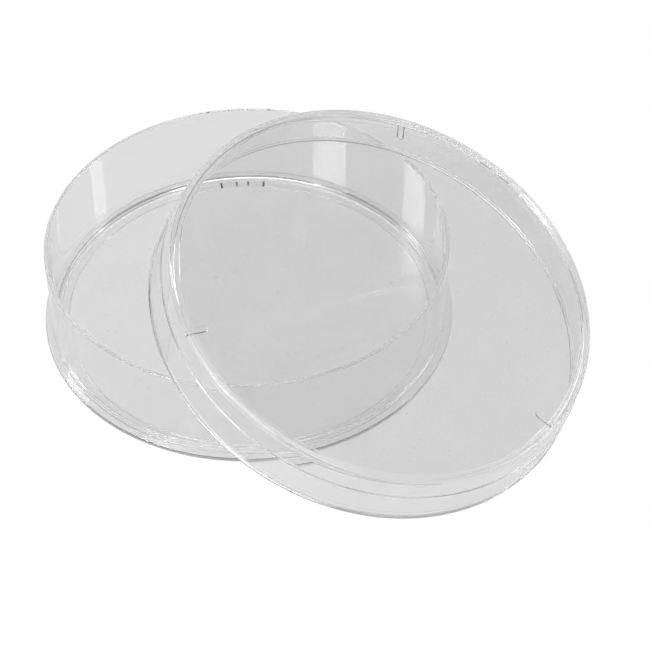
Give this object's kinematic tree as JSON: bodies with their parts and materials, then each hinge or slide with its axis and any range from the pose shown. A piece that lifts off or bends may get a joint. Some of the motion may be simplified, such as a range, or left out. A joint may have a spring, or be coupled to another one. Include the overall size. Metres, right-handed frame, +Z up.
{
  "type": "petri dish",
  "caption": "Deep clear petri dish with its lid leaning on the rim of the open base.",
  "frame": {"origin": "the table under the middle of the whole object's bounding box, base and leaning lid together", "axes": "+Z up out of the open base; +X towards the side the lid lies on; -Y towards the viewer"},
  "size_m": [0.1216, 0.1144, 0.0453],
  "materials": {
    "clear_polystyrene": "clear, polished, with a lightly frosted stacking ring on the lid"
  },
  "bodies": {
    "base": {"dish_base": "clear_polystyrene"},
    "lid": {"dish_lid": "clear_polystyrene"}
  },
  "joints": [
    {"name": "lid_lift", "type": "slide", "parent": "base", "child": "lid", "axis": [0, 0, 1], "range_m": [0, 0.06]}
  ]
}
